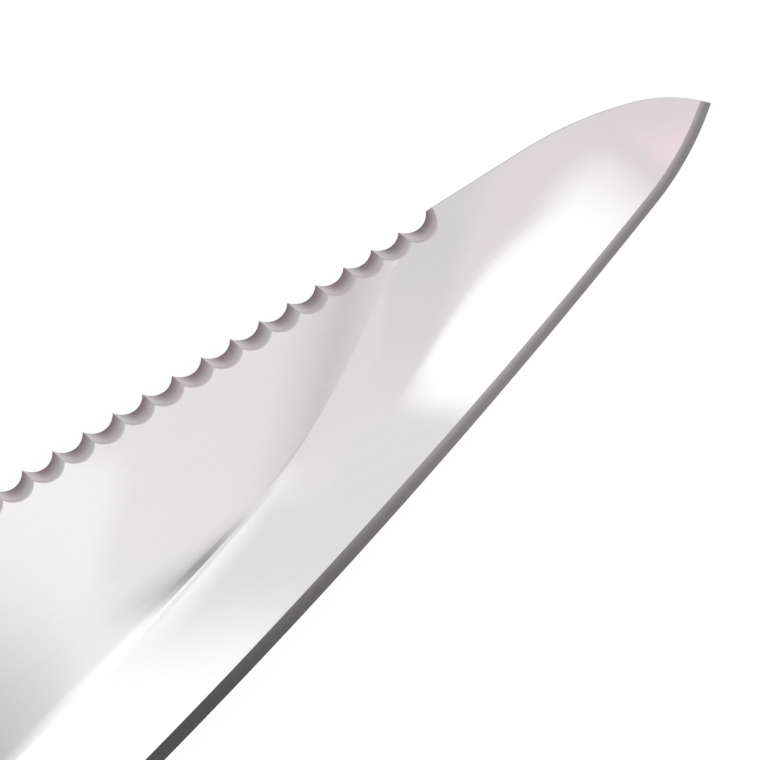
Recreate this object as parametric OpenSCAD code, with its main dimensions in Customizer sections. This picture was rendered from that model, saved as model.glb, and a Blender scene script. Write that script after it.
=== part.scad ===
// A fish and sashimi knife: a broad hollow-ground blade with scaler teeth along its spine, and a
// full tang between two riveted handle scales. It lies on its side, with +X to the tip, +Y to the
// spine and +Z up, and its origin is the middle of its box, on the surface that it lies on.

/* [Blade] */
// Length of the blade, from the front of the bolsters to the tip
blade_len = 165; // [150:1:200]
// Thickness of the blade and of its tang
blade_t = 2.5; // [2:0.1:3.5]
// Depth of the heel corner below the spine
heel_depth = 46.8; // [43:0.1:54]
// Distance of the heel corner ahead of the bolsters
heel_run = 6; // [5:0.5:10]
// Slope of the cutting edge at the heel, in degrees
heel_slope = 7.2; // [4:0.1:9]

/* [Tip] */
// Drop of the tip below the spine
tip_drop = 6.1; // [5:0.1:7.5]
// Length of the edge's upsweep, back from the tip
sweep_run = 10; // [7:0.5:14]
// Depth of the edge below the spine where its upsweep starts
sweep_depth = 11.7; // [10.5:0.1:13.5]
// Length of the clipped spine, back from the tip
clip_run = 18.5; // [15:0.1:24]
// Length of the clip's rounded nose, back from the tip
nose_run = 6.7; // [5:0.1:9]
// Drop of the spine where the nose starts
nose_drop = 1.8; // [1.2:0.1:2.4]

/* [Grind] */
// Width of the hollow grind, from the edge to the grind line
grind_w = 10.8; // [9:0.1:13]
// Width of the grind at the tip, where its line has risen past the spine
tip_grind_w = 20; // [18:0.5:30]
// Distance from the tip at which the grind line starts to rise
rise_run = 60; // [55:1:75]
// Length over which it rises
rise_len = 51; // [35:1:54]
// Radius of the wheel that ground the hollow
wheel_r = 120; // [90:1:240]
// Width of the sharpened bevel along the edge
bevel_w = 1.4; // [0.8:0.1:2]
// Width of that bevel at the tip
tip_bevel_w = 1.1; // [0.6:0.1:1.5]
// Thickness of the blade at the shoulder of that bevel
shoulder_t = 0.78; // [0.5:0.02:1]
// Thickness of the very edge
edge_t = 0.06; // [0.04:0.01:0.2]

/* [Scaler teeth] */
// Spacing of the foremost teeth along the spine
tooth_pitch = 3.27; // [3:0.01:4]
// Growth of that spacing from each tooth to the next, towards the heel
pitch_growth = 0.03; // [0:0.005:0.05]
// Number of notches
notch_count = 20; // [12:1:26]
// Distance of the foremost notch, back from the tip
notch_run = 32.2; // [28:0.1:40]
// Radius of the notch cutter
notch_r = 2.2; // [2:0.1:3.2]
// Depth of the foremost notch below the spine, on the shallow side
notch_depth = 1.05; // [0.9:0.05:1.6]
// Growth of that depth from each notch to the next, towards the heel
depth_growth = 0.025; // [0:0.005:0.04]
// Tilt of the notch cutter towards the edge, in degrees
notch_tilt = 27; // [15:1:40]
// Turn of the notch cutter towards the tip, in degrees
notch_turn = 11; // [0:0.5:20]

/* [Handle] */
// Length of the handle, from the front of the bolsters to the butt
handle_len = 125; // [112:1:140]
// Depth of the handle at its front
front_depth = 26; // [23:0.5:30]
// Depth of the handle at its waist
waist_depth = 22.5; // [20:0.5:26]
// Distance of the waist behind the handle's front
waist_run = 48; // [40:1:60]
// Depth of the beak at the butt
beak_depth = 31; // [28:0.5:36]
// Distance of the beak ahead of the butt
beak_run = 9; // [7:0.5:14]
// Drop of the handle's back at the butt
back_drop = 4.5; // [0:0.5:6]
// Rounding of the butt's upper corner
butt_r = 13; // [8:0.5:15]
// Rounding of the beak's corner
beak_r = 7; // [4:0.5:9]
// Rounding of the handle's long edges
grip_r = 5.5; // [3:0.5:6.5]
// Rounding of the edges round the butt
rim_r = 3; // [1.5:0.5:5]
// Thickness of each handle scale
scale_t = 7.2; // [6:0.1:9]
// Thickness of each liner
liner_t = 0.8; // [0.4:0.1:1.5]

/* [Bolsters] */
// Length of the bolsters along the handle
bolster_len = 17; // [15:0.5:22]
// Length of their sloping front
slope_len = 8; // [5:0.5:9]
// Thickness of each bolster at its front
slope_t = 1; // [0.6:0.1:2]
// Diameter of the bolster pins
pin_d = 3.2; // [2.4:0.1:4]
// Distance of the pins ahead of the bolsters' rear
pin_inset = 5; // [3.5:0.5:6]
// Distance between the two pins
pin_gap = 11; // [8:0.5:13]

/* [Rivets] */
// Diameter of the rivet heads
head_d = 8; // [7:0.1:10]
// Thickness of the rivet heads
head_t = 2; // [1.5:0.1:3]
// Outer diameter of the rivet sleeves
sleeve_d = 5.5; // [4.8:0.1:6.5]
// Diameter of the rivet posts
post_d = 3.6; // [2.5:0.1:4]
// Length of the posts below their heads
post_len = 12; // [8:0.5:13]
// Distance of the front rivet behind the bolsters
rivet_inset = 16; // [12:0.5:22]

/* [Lanyard tube] */
// Outer diameter of the lanyard tube
tube_d = 7; // [6.5:0.1:8]
// Bore of the lanyard tube
tube_bore = 5.5; // [4:0.1:5.8]
// Distance of the lanyard tube ahead of the butt
tube_inset = 14; // [13.5:0.5:18]

/* [Fit] */
// Gap all round between a pin, rivet or tube and its hole
fit_gap = 0.05; // [0.02:0.01:0.12]

/* [Hidden] */
$fn = 96;

// How far a cutter stands out of what it cuts, and how far joined solids run into each other
over = 2;
// Steps in which each curve is drawn
spine_n = 20;
clip_n = 10;
nose_n = 10;
hollow_n = 6;
choil_n = 8;
slope_n = 12;
seat_n = 4;
grip_n = 22;
butt_n = 9;
corner_n = 6;
// Most of a short rib, close to the tip, that the bevel and the whole grind may take up
bevel_share = 0.8;
grind_share = 0.96;
// Most of the grip's depth and of its thickness that each rounded edge may take up
grip_depth_share = 0.45;
grip_wall_share = 0.9;
// Front, middle and rear rivet
rivet_count = 3;
// Room below the end of a rivet post
post_room = 1;

handle_t = blade_t + 2 * (liner_t + scale_t);
tang_z = blade_t / 2;
scale_z = tang_z + liner_t;
face_z = handle_t / 2;

// Corners of the blade's outline, from the heel along the edge to the tip, and back on the spine
heel = [heel_run, -heel_depth];
sweep = [blade_len - sweep_run, -sweep_depth];
tip = [blade_len, -tip_drop];
nose = [blade_len - nose_run, -nose_drop];
clip = [blade_len - clip_run, 0];

// Direction in which an arc arrives at q, if it leaves p at angle a
function arc_end(p, a, q) = 2 * atan2(q.y - p.y, q.x - p.x) - a;
// Radius of that arc
function arc_r(p, a, q) = norm(q - p) / (2 * sin((arc_end(p, a, q) - a) / 2));
// Centre of that arc, if it turns to the left
function arc_centre(p, a, q) = p + arc_r(p, a, q) * [-sin(a), cos(a)];
// Points along that arc, n steps, with the last one left out
function arc_points(p, a, q, n) =
    let (half_turn = (arc_end(p, a, q) - a) / 2)
    [for (i = [0 : n - 1])
        let (part = half_turn * i / n)
        p + norm(q - p) * sin(part) / sin(half_turn) * [cos(a + part), sin(a + part)]];

// The edge is two arcs that run into each other: the long belly, and the upsweep to the tip
belly_centre = arc_centre(heel, heel_slope, sweep);
belly_r = arc_r(heel, heel_slope, sweep);
sweep_slope = arc_end(heel, heel_slope, sweep);
sweep_centre = arc_centre(sweep, sweep_slope, tip);
sweep_r = arc_r(sweep, sweep_slope, tip);

// The spine runs straight from above the heel to the clip, then over two arcs to the tip
spine_start = [heel.x - heel_depth * tan(heel_slope), 0];
nose_slope = arc_end(clip, 0, nose);
spine_points = concat(
    [for (i = [0 : spine_n - 1]) spine_start + (clip - spine_start) * i / spine_n],
    arc_points(clip, 0, nose, clip_n),
    arc_points(nose, nose_slope, tip, nose_n));

// Direction from an arc's centre to a point, measured from straight down
function polar(centre, p) = atan2(p.x - centre.x, centre.y - p.y);
// Slope of the edge at the foot of the line that runs square to the edge from p
function foot_slope(p) =
    polar(sweep_centre, p) > sweep_slope ? polar(sweep_centre, p) : polar(belly_centre, p);
function foot(p) =
    let (a = foot_slope(p))
    a > sweep_slope
        ? sweep_centre + sweep_r * [sin(a), -cos(a)]
        : belly_centre + belly_r * [sin(a), -cos(a)];

// Smooth step from 0 at or before a to 1 at or after b
function ease(x, a, b) = (1 - cos(180 * min(1, max(0, (x - a) / (b - a))))) / 2;

// Width of the grind above the place x of the edge: it widens towards the tip
rise_at = blade_len - rise_run;
function grind(x) = grind_w + (tip_grind_w - grind_w) * ease(x, rise_at, rise_at + rise_len);
// Width of the bevel there: it narrows to the tip
function bevel(x) = bevel_w + (tip_bevel_w - bevel_w) * ease(x, rise_at, blade_len);

// Half of the blade's thickness at a distance d from its edge, where the grind has the width g and
// the bevel, which has the same angle everywhere, the width b
hollow_depth = pow(grind_w - bevel_w, 2) / (8 * wheel_r);
function half_t(d, g, b) =
    let (u = (d - b) / (g - b), t = edge_t + (shoulder_t - edge_t) * min(d, b) / bevel_w)
    d < g ? (t + (blade_t - t) * max(0, u)) / 2 - 4 * hollow_depth * max(0, u) * (1 - u)
    : blade_t / 2;

// Distances from the edge at which a rib of the given height has its points
function rib_steps(height, g, b) =
    let (top = min(g, grind_share * height))
    concat(0, [for (i = [0 : hollow_n]) b + (top - b) * i / hollow_n], height);

// Outline of the blade's section along the rib that ends at p: up one face and down the other
function rib(p) =
    let (
        base = foot(p), height = norm(p - base), up = (p - base) / height,
        g = grind(base.x), b = min(bevel(base.x), bevel_share * height), steps = rib_steps(height, g, b))
    concat(
        [for (d = steps) [each base + d * up, half_t(d, g, b)]],
        [for (i = [len(steps) - 1 : -1 : 0]) [each base + steps[i] * up, -half_t(steps[i], g, b)]]);

// Two triangles between the steps a to b of one ring and the same steps of the ring n points on
function wall(a, b, n) = [[a, b, b + n], [a, b + n, a + n]];

// The ground part of the blade: ribs from the heel to the nose, drawn together in the tip
module ground_blade() {
    ribs = [for (p = spine_points) rib(p)];
    n = len(ribs[0]);
    last = (len(ribs) - 1) * n;
    rows = n / 2 - 1;
    tip_front = last + n;
    tip_back = tip_front + 1;
    polyhedron(
        points = concat(
            [for (r = ribs) each r],
            [[tip.x, tip.y, edge_t / 2], [tip.x, tip.y, -edge_t / 2]]),
        faces = concat(
            [for (j = [0 : len(ribs) - 2], k = [0 : n - 1]) each wall(j * n + k, j * n + (k + 1) % n, n)],
            [for (k = [0 : rows - 1]) [k, n - 1 - k, n - 2 - k, k + 1]],
            [for (k = [0 : rows - 1]) [last + k, last + k + 1, tip_front]],
            [for (k = [rows + 1 : n - 2]) [last + k, last + k + 1, tip_back]],
            [[last + rows, last + rows + 1, tip_back, tip_front],
             [last + n - 1, last, tip_front, tip_back]]));
}

// Height lost to a corner of radius r, at a distance x from the end that it rounds
function corner_drop(x, r) = x >= r ? 0 : r - sqrt(max(0, r * r - pow(r - x, 2)));

// Height of the handle's back and of its underside, at a distance x behind its front
function back_y(x) = -back_drop * ease(x, waist_run, handle_len) - corner_drop(handle_len - x, butt_r);
function under_y(x) =
    -front_depth + (front_depth - waist_depth) * ease(x, 0, waist_run)
    - (beak_depth - waist_depth) * ease(x, waist_run, handle_len - beak_run)
    + corner_drop(handle_len - x, beak_r);
function middle_y(x) = (back_y(x) + under_y(x)) / 2;

// Stations from a to the butt, closer together where the butt is rounded
function handle_stations(a) = concat(
    [for (i = [0 : grip_n - 1]) a + (handle_len - butt_r - a) * i / grip_n],
    [for (i = [0 : butt_n]) handle_len - butt_r * (1 - sin(90 * i / butt_n))]);

// Outline of the handle behind the distance a
module handle_outline(a) {
    xs = handle_stations(a);
    polygon(concat(
        [for (x = xs) [-x, back_y(x)]],
        [for (i = [len(xs) - 1 : -1 : 0]) [-xs[i], under_y(xs[i])]]));
}

// Height of the grip's outer face at a distance x behind the front: it rises over the bolsters'
// slope and is rounded down at the butt
function outer_z(x) =
    tang_z + slope_t + (face_z - tang_z - slope_t) * ease(x, 0, slope_len)
    - corner_drop(handle_len - x, rim_r);

// Section of one half of the grip at the distance x, from the plane inner_z out to its outer face
function grip_ring(x, inner_z) =
    let (
        top = back_y(x), low = under_y(x), out = outer_z(x),
        ry = min(grip_r, grip_depth_share * (top - low)),
        rz = min(grip_r, grip_wall_share * (out - inner_z)),
        turns = [for (i = [0 : corner_n]) 90 * i / corner_n])
    concat(
        [[-x, low, inner_z], [-x, top, inner_z]],
        [for (a = turns) [-x, top - ry * (1 - cos(a)), out - rz * (1 - sin(a))]],
        [for (a = turns) [-x, low + ry * (1 - sin(a)), out - rz * (1 - cos(a))]]);

// Solid skin over a row of rings that each have the same number of points
module loft(rings) {
    n = len(rings[0]);
    last = (len(rings) - 1) * n;
    polyhedron(
        points = [for (r = rings) each r],
        faces = concat(
            [for (j = [0 : len(rings) - 2], k = [0 : n - 1]) each wall(j * n + k, j * n + (k + 1) % n, n)],
            [[for (k = [n - 1 : -1 : 0]) k]],
            [[for (k = [0 : n - 1]) last + k]]));
}

// Where the fasteners go through the handle
tube_at = handle_len - tube_inset;
rivet_first = bolster_len + rivet_inset;
rivet_at = [for (i = [0 : rivet_count - 1]) rivet_first + (tube_at - rivet_first) * i / rivet_count];
pin_at = bolster_len - pin_inset;

// Puts children at a place along the handle's middle line, up or down by dy
module along_handle(x, dy = 0) translate([-x, middle_y(x) + dy, 0]) children();

module through_hole(d) cylinder(d = d + 2 * fit_gap, h = handle_t + 2 * over, center = true);
module pin_holes() for (side = [-1, 1]) along_handle(pin_at, side * pin_gap / 2) through_hole(pin_d);
module rivet_holes() for (x = rivet_at) along_handle(x) through_hole(sleeve_d);
module tube_hole() along_handle(tube_at) through_hole(tube_d);
module head_seats()
    for (x = rivet_at) along_handle(x)
        translate([0, 0, face_z - head_t]) cylinder(d = head_d + 2 * fit_gap, h = head_t + over);

// Flat tang, with the round choil that runs from the bolsters' underside a little way into the heel
choil_bite = 0.1;
choil_room = heel_run * cos(heel_slope) - (heel_depth - front_depth) * sin(heel_slope) + choil_bite;
choil_r = choil_room / (1 - sin(heel_slope));
module tang() {
    choil_centre = [0, -front_depth - choil_r];
    choil_turn = 90 - heel_slope;
    choil = [for (i = [0 : choil_n]) let (a = 90 - choil_turn * i / choil_n)
        choil_centre + choil_r * [cos(a), sin(a)]];
    ahead = over * [cos(heel_slope), sin(heel_slope)];
    linear_extrude(blade_t, center = true) {
        handle_outline(0);
        polygon(concat(
            [[-over, 0], [-over, under_y(over)]],
            choil,
            [choil[choil_n] + ahead, spine_start + [over, 0]]));
    }
}

// Round-nosed cutters, tilted so that each notch is deeper on the upper face than on the lower one
notch_axis = [cos(notch_tilt) * sin(notch_turn), -sin(notch_tilt), cos(notch_tilt) * cos(notch_turn)];
notch_reach = notch_r * sqrt(1 - pow(notch_axis.x, 2)) / notch_axis.z;
// Place of a notch, back from the tip
function notch_back(i) = notch_run + i * tooth_pitch + pitch_growth * i * (i - 1) / 2;
module notches()
    for (i = [0 : notch_count - 1])
        translate([blade_len - notch_back(i), notch_reach - notch_depth - i * depth_growth, -tang_z])
            rotate([notch_tilt, notch_turn, 0])
                linear_extrude(2 * (blade_t + 2 * notch_r), center = true) {
                    circle(notch_r);
                    translate([-notch_r, 0]) square(2 * notch_r);
                }

// Moves the knife from its own axes, where the bolsters' front meets the spine, to the part's origin
module laid() translate([(handle_len - blade_len) / 2, heel_depth / 2, face_z]) children();
// Turns a piece of the upper half over to the lower half
module turned_over() mirror([0, 0, 1]) children();

module blade() color("#c9ccd0") laid() difference() {
    union() {
        ground_blade();
        tang();
    }
    notches();
    pin_holes();
    rivet_holes();
    tube_hole();
}

bolster_stations = concat(
    [for (i = [0 : slope_n - 1]) slope_len * i / slope_n],
    [for (i = [0 : seat_n]) slope_len + (bolster_len - slope_len) * i / seat_n]);
module bolster() color("#b9bcc0") difference() {
    loft([for (x = bolster_stations) grip_ring(x, tang_z)]);
    pin_holes();
}
module left_bolster() laid() turned_over() bolster();
module right_bolster() laid() bolster();

module bolster_pin(side) color("#d3d5d8") laid()
    along_handle(pin_at, side * pin_gap / 2) cylinder(d = pin_d, h = handle_t, center = true);
module upper_bolster_pin() bolster_pin(1);
module lower_bolster_pin() bolster_pin(-1);

module liner() color("#23211f") difference() {
    translate([0, 0, tang_z]) linear_extrude(liner_t) handle_outline(bolster_len);
    rivet_holes();
    tube_hole();
}
module left_liner() laid() turned_over() liner();
module right_liner() laid() liner();

module grip_scale() color("#4a2a1c") difference() {
    loft([for (x = handle_stations(bolster_len)) grip_ring(x, scale_z)]);
    rivet_holes();
    head_seats();
    tube_hole();
}
module left_scale() laid() turned_over() grip_scale();
module right_scale() laid() grip_scale();

// The sleeve's head sits in the lower scale and the post's in the upper one
sleeve_top = face_z - head_t - fit_gap;
post_hole_z = face_z - head_t - post_len - post_room;
module rivet_sleeve(i) color("#c8c5ba") laid() along_handle(rivet_at[i]) difference() {
    union() {
        translate([0, 0, -face_z]) cylinder(d = head_d, h = head_t);
        translate([0, 0, -face_z]) cylinder(d = sleeve_d, h = face_z + sleeve_top);
    }
    translate([0, 0, post_hole_z]) cylinder(d = post_d + 2 * fit_gap, h = handle_t);
}
module rivet_post(i) color("#d2cfc4") laid() along_handle(rivet_at[i]) {
    translate([0, 0, face_z - head_t]) cylinder(d = head_d, h = head_t);
    translate([0, 0, face_z - head_t - post_len]) cylinder(d = post_d, h = post_len + head_t);
}
module front_rivet_sleeve() rivet_sleeve(0);
module middle_rivet_sleeve() rivet_sleeve(1);
module rear_rivet_sleeve() rivet_sleeve(2);
module front_rivet_post() rivet_post(0);
module middle_rivet_post() rivet_post(1);
module rear_rivet_post() rivet_post(2);

module lanyard_tube() color("#c8c5ba") laid() along_handle(tube_at) difference() {
    cylinder(d = tube_d, h = handle_t, center = true);
    cylinder(d = tube_bore, h = handle_t + 2 * over, center = true);
}

blade();
left_bolster();
right_bolster();
upper_bolster_pin();
lower_bolster_pin();
left_liner();
right_liner();
left_scale();
right_scale();
front_rivet_sleeve();
middle_rivet_sleeve();
rear_rivet_sleeve();
front_rivet_post();
middle_rivet_post();
rear_rivet_post();
lanyard_tube();
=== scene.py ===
import bmesh
import bpy
import numpy as np
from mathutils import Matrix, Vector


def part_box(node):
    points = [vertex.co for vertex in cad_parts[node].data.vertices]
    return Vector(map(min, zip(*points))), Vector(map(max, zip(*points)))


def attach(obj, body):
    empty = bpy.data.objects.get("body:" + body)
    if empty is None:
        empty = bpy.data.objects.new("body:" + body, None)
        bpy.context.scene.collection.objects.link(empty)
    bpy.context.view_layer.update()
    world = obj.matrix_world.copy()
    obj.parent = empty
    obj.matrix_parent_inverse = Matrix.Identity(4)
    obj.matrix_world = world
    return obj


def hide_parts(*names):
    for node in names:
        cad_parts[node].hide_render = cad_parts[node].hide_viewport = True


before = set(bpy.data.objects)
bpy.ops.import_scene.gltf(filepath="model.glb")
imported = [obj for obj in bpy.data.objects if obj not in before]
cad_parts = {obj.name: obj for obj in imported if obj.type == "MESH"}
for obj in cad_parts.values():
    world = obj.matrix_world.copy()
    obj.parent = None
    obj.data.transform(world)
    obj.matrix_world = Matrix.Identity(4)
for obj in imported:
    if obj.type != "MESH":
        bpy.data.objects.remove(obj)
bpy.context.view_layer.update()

# Blade
# The blade and its full tang are one piece, blanked from 2.5 mm stainless sheet. Both faces are hollow
# ground on a wheel and buffed to a mirror, the edge is stoned to a bevel, and a tilted round-nosed cutter
# has ground the scaler notches into the spine.
mm = 0.001
blade_low, blade_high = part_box("blade")
handle_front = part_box("right_bolster")[1].x
knife_origin = np.array([handle_front, blade_high.y, (blade_low.z + blade_high.z) / 2])

# Sizes in millimetres along the knife's own axes: x from the bolsters' front towards the tip, y up from
# the spine, z from the middle of the blade's thickness. Runs are measured back from the tip, the heel's
# from the bolsters, and drops and depths down from the spine.
blade_len = (blade_high.x - handle_front) / mm
handle_len = (handle_front - blade_low.x) / mm
blade_t = (blade_high.z - blade_low.z) / mm
heel_depth = (blade_high.y - blade_low.y) / mm
heel_run = 6.0
heel_slope = np.radians(7.2)
sweep_run, sweep_depth = 10.0, 11.7
tip_drop = 6.1
nose_run, nose_drop = 6.7, 1.8
clip_run = 18.5
heel = np.array([heel_run, -heel_depth])
sweep = np.array([blade_len - sweep_run, -sweep_depth])
tip = np.array([blade_len, -tip_drop])
nose = np.array([blade_len - nose_run, -nose_drop])
clip = np.array([blade_len - clip_run, 0.0])


def arc(p, heading, q):
    """Arc that leaves p at a heading and passes through q, as its centre, signed radius and heading at q.
    The chord halves the turn, so the last heading is twice the chord's heading less the first one."""
    chord = q - p
    end = 2 * np.arctan2(chord[1], chord[0]) - heading
    radius = np.hypot(*chord) / (2 * np.sin((end - heading) / 2))
    return p + radius * np.array([-np.sin(heading), np.cos(heading)]), radius, end


def along_arc(p, heading, q, share):
    """Points at the given shares of that arc: from p, a chord of twice the radius times the sine of half
    the turn so far, at the first heading plus that half turn."""
    radius, end = arc(p, heading, q)[1:]
    half = heading + (end - heading) / 2 * share
    chord = 2 * radius * np.sin(half - heading)
    return p + np.stack([chord * np.cos(half), chord * np.sin(half)], -1)


# The edge is two arcs, the belly and the sweep to the tip. The back of the heel, carried on up, meets the
# spine where the blade's columns start.
belly_centre, belly_r, sweep_slope = arc(heel, heel_slope, sweep)
sweep_centre, sweep_r = arc(sweep, sweep_slope, tip)[:2]
nose_slope = arc(clip, 0.0, nose)[2]
spine_start = np.array([heel_run - heel_depth * np.tan(heel_slope), 0.0])


def edge_foot(points):
    """Foot of each point on the edge, the height over it and the direction up from it. The foot lies
    straight out from the centre of the arc that the point is over: the belly, or the sweep to the tip."""
    over_sweep = np.arctan2(points[:, 0] - sweep_centre[0], sweep_centre[1] - points[:, 1]) > sweep_slope
    centre = np.where(over_sweep[:, None], sweep_centre, belly_centre)
    radius = np.where(over_sweep, sweep_r, belly_r)
    out = points - centre
    length = np.hypot(out[:, 0], out[:, 1])
    return centre + out * (radius / length)[:, None], radius - length, -out / length[:, None]


def edge_at(x):
    """Point of the edge at each x and the direction up from it. Its turn on the arc of the belly or of the
    sweep is the arcsine of the way from the arc's centre over the radius."""
    centre = np.where((x > sweep[0])[:, None], sweep_centre, belly_centre)
    radius = np.where(x > sweep[0], sweep_r, belly_r)
    turn = np.arcsin((x - centre[:, 0]) / radius)
    up = np.stack([-np.sin(turn), np.cos(turn)], -1)
    return centre - radius[:, None] * up, up


def ease(x, start, end):
    """Smooth step from 0 at start to 1 at end: half of one less the cosine over half a turn."""
    return (1 - np.cos(np.pi * np.clip((x - start) / (end - start), 0, 1))) / 2


# The grind widens to the tip between two places. The bevel narrows to the tip, and takes up a share of the
# blade's height at most. Buffing has rounded the ridge, and between two places it leaves the ridge crisp.
grind_w, tip_grind_w, wheel_r = 10.8, 20.0, 120.0
rise_from, rise_to = blade_len - 60.0, blade_len - 9.0
bevel_w, tip_bevel_w, bevel_share = 1.4, 1.1, 0.8
shoulder_t, edge_t = 0.78, 0.06
buff_rear, buff_front = 0.13, 0.0005
buff_from, buff_to = blade_len - 85.0, blade_len - 48.0


def grind_width(x):
    """Width of the hollow grind over the place x of the edge: it widens to the tip, past the spine."""
    return grind_w + (tip_grind_w - grind_w) * ease(x, rise_from, rise_to)


def bevel_width(x, height):
    """Width of the bevel at the place x of the edge: it eases to the tip's width, and takes up at most its
    share of the height of the blade over that place."""
    eased = bevel_w + (tip_bevel_w - bevel_w) * ease(x, rise_from, blade_len)
    return np.minimum(eased, bevel_share * height)


def half_thickness(d, x, height):
    """Half of the blade's thickness at the distance d above the place x of the edge. The bevel is a taper
    of one angle. The hollow is a taper less a parabola as deep as the wheel's arc, and the buffed ridge
    rounds it into the flat: the lesser of both, less a square term where they lie within the buffing."""
    bevel = bevel_width(x, height)
    shoulder = edge_t + (shoulder_t - edge_t) * bevel / bevel_w
    u = (d - bevel) / (grind_width(x) - bevel)
    hollow_depth = (grind_w - bevel_w) ** 2 / (8 * wheel_r)
    hollow = (shoulder + (blade_t - shoulder) * u) / 2 - 4 * hollow_depth * u * (1 - u)
    buff = buff_rear + (buff_front - buff_rear) * ease(x, buff_from, buff_to)
    rounded = np.maximum(buff - np.abs(hollow - blade_t / 2), 0) ** 2 / (4 * buff)
    face = np.minimum(hollow, blade_t / 2) - rounded
    return np.where(d <= bevel, (edge_t + (shoulder_t - edge_t) * d / bevel_w) / 2, face)


# The notches are cut by a round-nosed cutter that leans towards the edge and the tip, so that a notch is
# deeper on the upper face. Towards the heel they lie a little wider apart and go a little deeper.
notch_count, notch_r, notch_depth, depth_growth = 20, 2.2, 1.05, 0.025
notch_run, tooth_pitch, pitch_growth = 32.2, 3.27, 0.03
notch_tilt, notch_turn = np.radians(27.0), np.radians(11.0)
notch_gap = tooth_pitch + pitch_growth * np.arange(notch_count - 1)
notch_at = blade_len - notch_run - np.concatenate([[0], np.cumsum(notch_gap)])
lean_x, lean_y = np.tan(notch_turn), -np.tan(notch_tilt) / np.cos(notch_turn)
floor_half, floor_deep = notch_r / np.cos(notch_turn), notch_r / np.cos(notch_tilt)
floor_skew = floor_half * np.sin(notch_turn) * np.tan(notch_tilt)
notch_reach = np.hypot(floor_deep, floor_skew)


def axis_height(index, rise):
    """Height of a notch's axis over the spine, at a rise above the lower face: on that face the floor's
    lowest point, the reach below the axis, lies at the notch's depth, and the axis falls by its lean."""
    return notch_reach - notch_depth - depth_growth * index + rise * lean_y


def notch_floor(index, rise, turn):
    """Point of a notch's floor at a turn on the cutter and a rise above the lower face. It lies on the
    skewed ellipse in which a level plane cuts the cutter."""
    x = notch_at[index] + rise * lean_x + floor_half * np.sin(turn)
    y = axis_height(index, rise) - floor_deep * np.cos(turn) - floor_skew * np.sin(turn)
    return np.stack([x, y], -1)


def meeting_turns():
    """Turns on the cutter at which neighbouring notches meet: at the front of each notch but the foremost,
    and at the rear of each but the rearmost. Two of the skewed ellipses, a gap apart and one deeper by the
    growth, meet half the gap and a skew term from the axis."""
    skew = (floor_skew / floor_half + depth_growth / notch_gap) * floor_half / floor_deep
    half = notch_gap / (2 * floor_half)
    shift = skew * np.sqrt((1 - half ** 2 * (1 + skew ** 2)) / (1 + skew ** 2))
    return np.arcsin(shift + half), np.arcsin(shift - half)


def end_turn(index, rise, way):
    """Turn on the cutter at which an end notch reaches the spine, at a rise above the lower face: where the
    skewed ellipse is as high as the spine, or at most a quarter turn, where the flank goes straight up."""
    level = np.clip(axis_height(index, rise) / notch_reach, -1, 1)
    turn = np.arctan2(floor_skew, floor_deep) + way * np.arccos(level)
    return np.clip(turn, -np.pi / 2, np.pi / 2)


# Columns of the surface along the spine, from the heel to the tip: plain spine, notches, plain spine again,
# clip and nose. The rear wall is the columns on both sides of the notches' start.
plain_n, notch_n, front_n, clip_n, nose_n = 57, 15, 22, 44, 49
plain_share = np.linspace(0, 1, plain_n)
notch_share = np.tile(np.linspace(0, 1, notch_n), notch_count)
notch_index = np.repeat(np.arange(notch_count)[::-1], notch_n)
front_share = np.arange(front_n) / front_n
clip_share = np.arange(clip_n) / clip_n
nose_share = np.sin(np.linspace(0, np.pi / 2, nose_n))
column_parts = plain_share, notch_share, front_share, clip_share, nose_share
column_ends = np.cumsum([0] + [len(part) for part in column_parts])
columns = np.arange(column_ends[-1])
is_notch = (columns >= column_ends[1]) & (columns < column_ends[2])
wall_behind, wall_ahead = 6, 8
rear_wall = slice(column_ends[1] - wall_behind, column_ends[1] + wall_ahead)


def spine_line(z):
    """Outline of the spine, one point for each column, at the height z that each column gives: straight,
    along the notches where the cutter stands at that height, straight again, and round the clip and nose."""
    plain_rise, rise, front_rise = (z[column_ends[i]:column_ends[i + 1]] + blade_t / 2 for i in range(3))
    last = notch_count - 1
    rear_end = notch_floor(last, plain_rise, end_turn(last, plain_rise, -1))[:, 0]
    plain = spine_start[0] + (rear_end - spine_start[0]) * plain_share
    front_meeting, rear_meeting = meeting_turns()
    rear_turn = rear_meeting[np.minimum(notch_index, last - 1)]
    rear_turn = np.where(notch_index == last, end_turn(last, rise, -1), rear_turn)
    front_turn = np.where(notch_index == 0, end_turn(0, rise, 1), front_meeting[notch_index - 1])
    floor = notch_floor(notch_index, rise, rear_turn + (front_turn - rear_turn) * notch_share)
    front_start = notch_floor(0, front_rise, end_turn(0, front_rise, 1))[:, 0]
    front = front_start + (clip[0] - front_start) * front_share
    return np.concatenate([
        np.stack([plain, 0 * plain], -1), floor, np.stack([front, 0 * front], -1),
        along_arc(clip, 0.0, nose, clip_share), along_arc(nose, nose_slope, tip, nose_share)])


# The handle's outline, which the tang has too, at a distance x behind the bolsters' front
front_depth, waist_depth, waist_run = 26.0, 22.5, 48.0
beak_depth, beak_run, back_drop, butt_r, beak_r = 31.0, 9.0, 4.5, 13.0, 7.0


def corner_drop(x, r):
    """Height lost to a round corner of radius r, at a distance x from the end that it rounds."""
    return r - np.sqrt(r * r - np.clip(r - x, 0, r) ** 2)


def back_y(x):
    """Back of the handle: level with the spine, falling smoothly behind the waist, round at the butt."""
    return -back_drop * ease(x, waist_run, handle_len) - corner_drop(handle_len - x, butt_r)


def under_y(x):
    """Underside of the handle: it rises to the waist and falls to the beak, in two smooth steps."""
    to_waist = (front_depth - waist_depth) * ease(x, 0, waist_run)
    to_beak = (beak_depth - waist_depth) * ease(x, waist_run, handle_len - beak_run)
    return -front_depth + to_waist - to_beak + corner_drop(handle_len - x, beak_r)


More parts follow.
